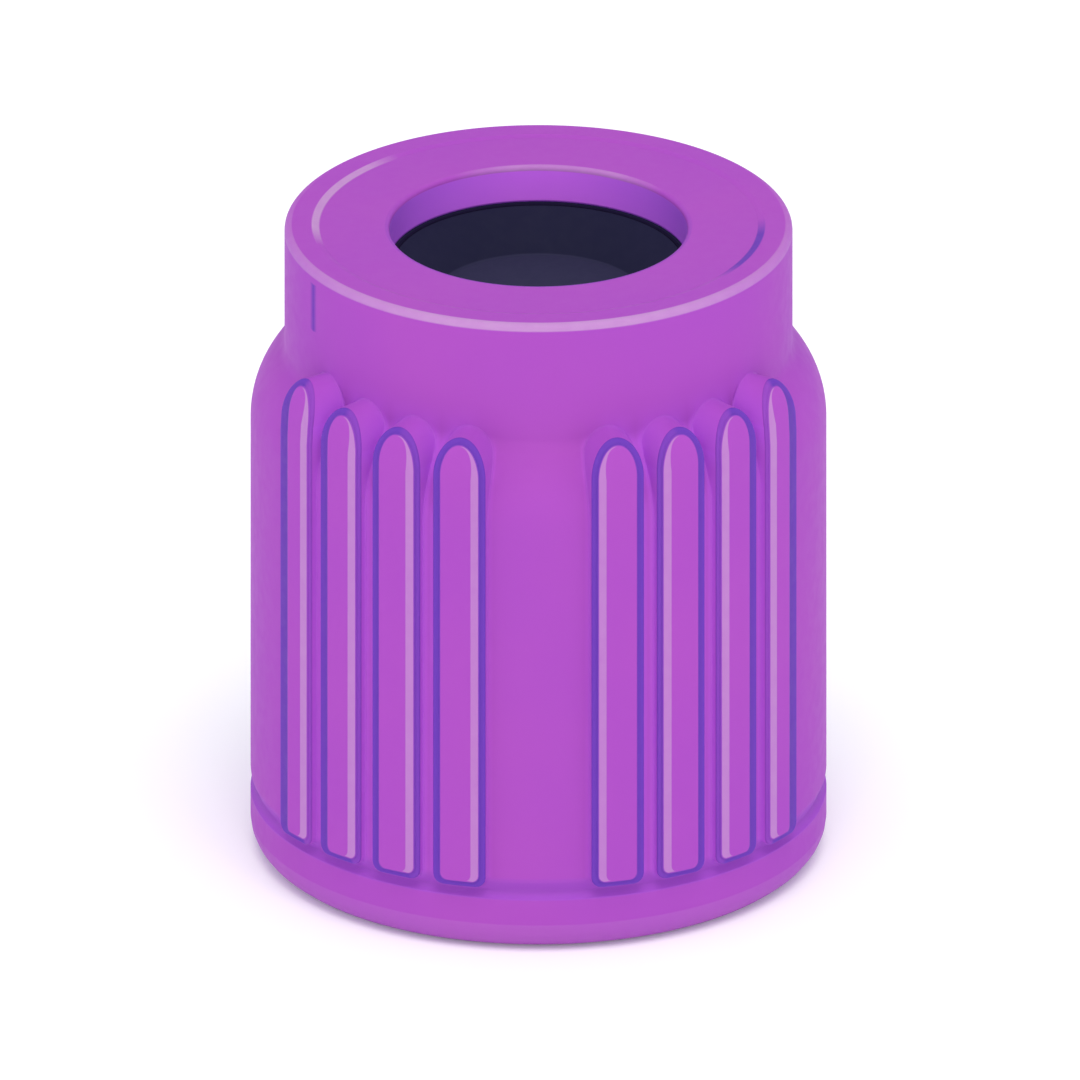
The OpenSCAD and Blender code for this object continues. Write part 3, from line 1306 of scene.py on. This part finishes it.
    def _ribs(self) -> list[RibPlace]:
        """Returns every rib's place."""
        ribs: list[RibPlace] = []
        for facing, start in ((FRONT_PANEL, self.front_start), (REAR_PANEL, self.rear_start)):
            for index in range(self.rib_count):
                turn = start + index * self.rib_pitch
                share = index / max(1, self.rib_count - 1)
                tip = self.tip_z + self.tip_rise * share ** self.tip_curve
                ribs.append(RibPlace(facing + turn, tip, Side.LEFT, share))
                ribs.append(RibPlace(facing - turn, tip, Side.RIGHT, share))
        return ribs

    def _panels(self) -> list[tuple[float, float]]:
        """Returns each plain panel's first direction and its width, in degrees."""
        reach = (self.rib_count - 0.5) * self.rib_pitch
        front, rear = self.front_start - self.rib_pitch / 2, self.rear_start - self.rib_pitch / 2
        front_end, rear_end = self.front_start + reach, self.rear_start + reach
        flank = FULL_TURN / 2 - front_end - rear_end
        return [(FRONT_PANEL - front, 2 * front), (REAR_PANEL - rear, 2 * rear),
                (FRONT_PANEL + front_end, flank), (REAR_PANEL + rear_end, flank)]

    def _panel(self, bm: BMesh, heights: list[float], start: float, turn: float) -> None:
        """Spins a plain panel from one upright line.

        Args:
            bm: The shield's mesh.
            heights: The line's points, from the relief up.
            start: Direction of the line, in degrees.
            turn: How far it is spun, in degrees.
        """
        recess, glow = bm.verts.layers.float[PAINTED_SHADE], bm.verts.layers.float[PAINTED_LIGHT]
        direction = Vector((math.cos(math.radians(start)), math.sin(math.radians(start)), 0.0))
        line: list[BMVert] = []
        for z in heights:
            vert = bm.verts.new(direction * self.skin.bare(z) + Vector((0.0, 0.0, z)))
            # painted shade and painted light over the relief strip
            vert[recess] = self.skin.relief_painted_shade * self.skin.in_relief(z)
            vert[glow] = self.skin.relief_painted_light * self.skin.in_relief(z)
            line.append(vert)
        spin_line(bm, line, turn, max(1, round(turn / self.panel_step)))

    def _close(self, bm: BMesh, neck_z: float) -> None:
        """Carries the skin from its upper border over the top, down the hollow and back to its lower border.

        Args:
            bm: The shield's mesh, with its bays and panels.
            neck_z: Height of the upper border.
        """
        edge, recess, glow = (bm.verts.layers.float[name] for name in (HIGHLIT_AND_WORN, PAINTED_SHADE, PAINTED_LIGHT))
        section = Section((*self._outer_corners(neck_z), *self._inner_corners()))
        border = [e for e in bm.edges
                  if e.is_boundary and min(v.co.z for v in e.verts) > neck_z - BORDER_SLACK]
        for station in section.stations()[1:]:
            marks = station.marks
            grown = bmesh.ops.extrude_edge_only(bm, edges=border)["geom"]
            for vert in (g for g in grown if isinstance(g, BMVert)):
                flat = vert.co.xy.normalized() * station.radius
                vert.co = (flat.x, flat.y, station.height)
                # each mark only as far round the axis as it reaches: painted highlights with worn edges,
                # painted shade, and painted light, which is less at the hole's rear
                shaded = marks.shaded.share(vert.co)
                vert[edge] = marks.wear * marks.worn_and_highlit_part.share(vert.co)
                vert[recess] = marks.recess * shaded
                vert[glow] = marks.glow * (1 - self.rear_dimming * (1 - shaded))
            border = [g for g in grown if isinstance(g, BMEdge) and g.is_boundary]

    def shape(self) -> BMesh:
        """Returns the shield's closed mesh, in millimetres."""
        bm = bmesh.new()
        for name in (HIGHLIT_AND_WORN, PAINTED_SHADE, PAINTED_LIGHT):
            bm.verts.layers.float.new(name)
        bm.verts.layers.int.new(RIM)
        bays = [RibBay(self.skin, self.rib_pitch, place) for place in self._ribs()]
        for bay in bays:
            turn = Matrix.Rotation(math.radians(bay.place.direction), 3, "Z")
            bmesh.ops.rotate(bm, verts=bay.build(bm), cent=(0, 0, 0), matrix=turn)
        for start, turn in self._panels():
            self._panel(bm, bays[0].border_heights(), start, turn)
        bmesh.ops.remove_doubles(bm, verts=bm.verts, dist=SAME_SPOT)
        self._close(bm, bays[0].border_top_z)
        bmesh.ops.remove_doubles(bm, verts=bm.verts, dist=SAME_SPOT)
        bm.verts.layers.int.remove(bm.verts.layers.int[RIM])
        return bm


@dataclass
class RubberStopper(MouldedPiece):
    """The stopper: a dished flange under the shield's top, and a hollow plug that seals the tube.

    Args:
        name: The piece's name.
        node: The node that it stands for.
        slot: Not used.
        finish: Its finish.
        flange_r: Radius of the flange.
        flange_z: Height of the flange's underside.
        top_z: Height of its top.
        flange_round: Radius of its edges.
        dish_r: Radius of the dish.
        dish_round: Radius of the dish's edge.
        dish_floor_r: Radius of the dish's floor.
        dish_floor_z: Height of that floor.
        floor_round: Radius of the hollow round around it.
        lip_shade: Width of the painted shade line down from the dish's edge.
        lip_fade: Width over which it fades.
        plug_r: Radius of the plug.
        plug_end_z: Height of its lower end.
        lead: Width of the chamfer that leads it into the tube.
        grooves: Heights of its sealing grooves.
        groove_depth: Depth of a groove.
        groove_width: Width of a groove's mouth and of its floor.
        groove_round: Radius of a groove's edges.
        hollow_r: Radius of the hollow in its underside.
        hollow_roof_z: Height of the hollow's roof.
        hollow_round: Radius of the round beside that roof.
        neck_round: Radius of the corner between flange and plug.
        end_round: Radius of the edges of its lower end.
        steps: Steps around the axis.
    """

    name: str = "rubber_stopper"
    node: str = "stopper"
    slot: str = "stopper_rubber"
    finish: MouldedFinish = BUTYL_RUBBER
    flange_r: float = STOPPER_HIGH[0]
    flange_z: float = 16.2
    top_z: float = STOPPER_HIGH[2]
    flange_round: float = 0.25
    dish_r: float = 4.3
    dish_round: float = 0.06
    dish_floor_r: float = 3.03
    dish_floor_z: float = 17.48
    floor_round: float = 0.12
    lip_shade: float = 0.05
    lip_fade: float = 0.03
    plug_r: float = 5.6
    plug_end_z: float = STOPPER_LOW[2]
    lead: float = 0.6
    grooves: tuple[float, ...] = (13.4, 11.5)
    groove_depth: float = 0.12
    groove_width: tuple[float, float] = (0.7, 0.3)
    groove_round: float = 0.08
    hollow_r: float = 3.2
    hollow_roof_z: float = 14.98
    hollow_round: float = 1.2
    neck_round: float = 0.1
    end_round: float = 0.15
    steps: int = 160

    def _groove(self, height: float) -> list[Corner]:
        """Returns the corners of the sealing groove at a height, from its upper edge down."""
        mouth, floor = (width / 2 for width in self.groove_width)
        deep = self.plug_r - self.groove_depth
        return [Corner(radius, height + rise, self.groove_round) for radius, rise in
                ((self.plug_r, mouth), (deep, floor), (deep, -floor), (self.plug_r, -mouth))]

    def _on_flank(self, run: float, marks: Marks) -> Corner:
        """Returns a corner with these marks, as far down the dish's flank from its edge."""
        flank = Vector((self.dish_floor_r - self.dish_r, self.dish_floor_z - self.top_z)).normalized()
        return Corner(self.dish_r + flank.x * run, self.top_z + flank.y * run, marks=marks)

    def section(self) -> Section:
        """Returns the half section, from the middle of the dish round to the middle of the hollow."""
        return Section((
            # the dish floor is painted lighter, in the finish's edge colour, and a painted shade line runs
            # down the flank from the dish's edge
            Corner(0.0, self.dish_floor_z, marks=Marks(wear=1.0)),
            Corner(self.dish_floor_r, self.dish_floor_z, self.floor_round, Marks(wear=0.8)),
            self._on_flank(self.lip_shade + self.lip_fade, PLAIN),
            self._on_flank(self.lip_shade, PAINTED_SHADE_LINE),
            Corner(self.dish_r, self.top_z, self.dish_round, PAINTED_SHADE_LINE),
            Corner(self.flange_r, self.top_z, self.flange_round),
            Corner(self.flange_r, self.flange_z, self.flange_round),
            Corner(self.plug_r, self.flange_z, self.neck_round),
            *(corner for height in self.grooves for corner in self._groove(height)),
            Corner(self.plug_r, self.plug_end_z + self.lead, self.end_round),
            Corner(self.plug_r - self.lead, self.plug_end_z, self.end_round),
            Corner(self.hollow_r, self.plug_end_z, self.end_round),
            Corner(self.hollow_r, self.hollow_roof_z, self.hollow_round),
            Corner(0.0, self.hollow_roof_z),
        ))

    def shape(self) -> BMesh:
        """Returns the stopper's closed mesh, in millimetres."""
        bm = bmesh.new()
        edge, recess = bm.verts.layers.float.new(HIGHLIT_AND_WORN), bm.verts.layers.float.new(PAINTED_SHADE)
        line: list[BMVert] = []
        for station in self.section().stations():
            vert = bm.verts.new((station.radius, 0.0, station.height))
            vert[edge] = station.marks.wear
            vert[recess] = station.marks.recess
            line.append(vert)
        spin_line(bm, line, FULL_TURN, self.steps)
        bmesh.ops.remove_doubles(bm, verts=bm.verts, dist=SAME_SPOT)
        return bm


# ---------------------------------------------------------------- studio


@dataclass(frozen=True)
class Lamp:
    """A soft square light that looks at the closure's middle.

    Args:
        name: Its name.
        azimuth: Direction around the closure in degrees, 0 at the front, positive to the right.
        elevation: Height in degrees.
        distance: Distance from the middle, in metres.
        size: Side of its square, in metres.
        power: Power in watts.
        colour: Its colour.
    """

    name: str
    azimuth: float
    elevation: float
    distance: float
    size: float
    power: float
    colour: tuple[float, float, float]

    def hang(self, middle: Vector) -> None:
        """Hangs the light around the given middle."""
        data = bpy.data.lights.new(self.name, "AREA")
        data.shape, data.size, data.energy, data.color = "SQUARE", self.size, self.power, self.colour
        lamp = bpy.data.objects.new(self.name, data)
        bpy.context.scene.collection.objects.link(lamp)
        turn, lift = math.radians(self.azimuth), math.radians(self.elevation)
        away = Vector((math.sin(turn) * math.cos(lift), -math.cos(turn) * math.cos(lift), math.sin(lift)))
        lamp.location = middle + away * self.distance
        lamp.rotation_euler = away.to_track_quat("Z", "Y").to_euler()


WARM = (1.0, 0.92, 0.86)
WARM_LOW = (1.0, 0.93, 0.86)
VIOLET = (0.66, 0.57, 1.0)


@dataclass
class Studio:
    """A plain white floor, soft light all round, and the camera.

    Args:
        elevation: How far the camera looks down, in degrees.
        view_width: Width of its view.
        aim_drop: How far below half the closure's height it aims.
        aim_side: How far to the right of the axis it aims.
        camera_distance: Its distance.
        clip: The nearest and the farthest that it sees, in metres.
        floor_size: Side of the floor, in metres.
        floor_tiles: Faces along that side.
        sky: Strength of the light from all round.
        sky_colour: Its colour.
        lamps: The lights.
    """

    elevation: float = 23.5
    view_width: float = 31.877
    aim_drop: float = 0.264
    aim_side: float = 0.044
    camera_distance: float = 200.0
    clip: tuple[float, float] = (0.005, 5.0)
    floor_size: float = 1.2
    floor_tiles: int = 8
    sky: float = 0.82
    sky_colour: tuple[float, float, float] = (0.92, 0.95, 1.0)
    lamps: tuple[Lamp, ...] = (
        Lamp("front_softbox", 6, 64, 0.5, 0.3, 1.16, WARM),
        Lamp("low_front_box", 0, 16, 0.5, 0.22, 0.39, WARM_LOW),
        Lamp("left_fill", -80, 8, 0.5, 0.25, 0.42, VIOLET),
        Lamp("right_fill", 80, 8, 0.5, 0.25, 0.4, VIOLET),
    )

    @property
    def aim_height(self) -> float:
        """Height that the camera and the lights aim at."""
        return SHIELD_HIGH[2] / 2 - self.aim_drop

    def build(self) -> None:
        """Sets the whole scene up around the pieces."""
        self._floor()
        self._sky()
        for lamp in self.lamps:
            lamp.hang(Vector((0.0, 0.0, self.aim_height * MM)))
        self._camera()
        bpy.context.scene.view_settings.view_transform = "Standard"

    def _floor(self) -> None:
        """Lays the floor under the closure."""
        bm = bmesh.new()
        bmesh.ops.create_grid(bm, x_segments=self.floor_tiles, y_segments=self.floor_tiles,
                              size=self.floor_size / 2)
        mesh = bpy.data.meshes.new("floor")
        bm.to_mesh(mesh)
        bm.free()
        floor = bpy.data.objects.new("floor", mesh)
        bpy.context.scene.collection.objects.link(floor)
        paint = bpy.data.materials.new("white_floor")
        paint.use_nodes = True
        set_inputs(paint.node_tree.nodes[SHADER], {
            "Base Color": (0.96, 0.96, 0.96, 1), "Roughness": 0.9, "Specular IOR Level": 0.1,
            "Emission Color": (0.85, 1.0, 0.9, 1), "Emission Strength": 0.08})
        mesh.materials.append(paint)

    def _sky(self) -> None:
        """Lights the scene evenly from all round."""
        world = bpy.data.worlds.new("soft_sky")
        world.use_nodes = True
        set_inputs(world.node_tree.nodes["Background"],
                   {"Color": (*self.sky_colour, 1), "Strength": self.sky})
        bpy.context.scene.world = world

    def _camera(self) -> None:
        """Sets the camera up, level with the front panel and looking a little down."""
        data = bpy.data.cameras.new("camera")
        data.type, data.ortho_scale = "ORTHO", self.view_width * MM
        data.clip_start, data.clip_end = self.clip
        camera = bpy.data.objects.new("camera", data)
        bpy.context.scene.collection.objects.link(camera)
        lift = math.radians(self.elevation)
        aim = Vector((self.aim_side, 0.0, self.aim_height)) * MM
        camera.location = aim + Vector((0.0, -math.cos(lift), math.sin(lift))) * self.camera_distance * MM
        camera.rotation_euler = (math.pi / 2 - lift, 0.0, 0.0)
        bpy.context.scene.camera = camera


def main() -> None:
    """Builds the pieces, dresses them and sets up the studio."""
    logging.basicConfig(level=logging.INFO, format="%(name)s: %(message)s")
    effects = Effects()
    for moulding in (RibbedShield(), RubberStopper()):
        moulding.dress(moulding.build(), effects)
    Studio().build()


if __name__ == "__main__":
    main()
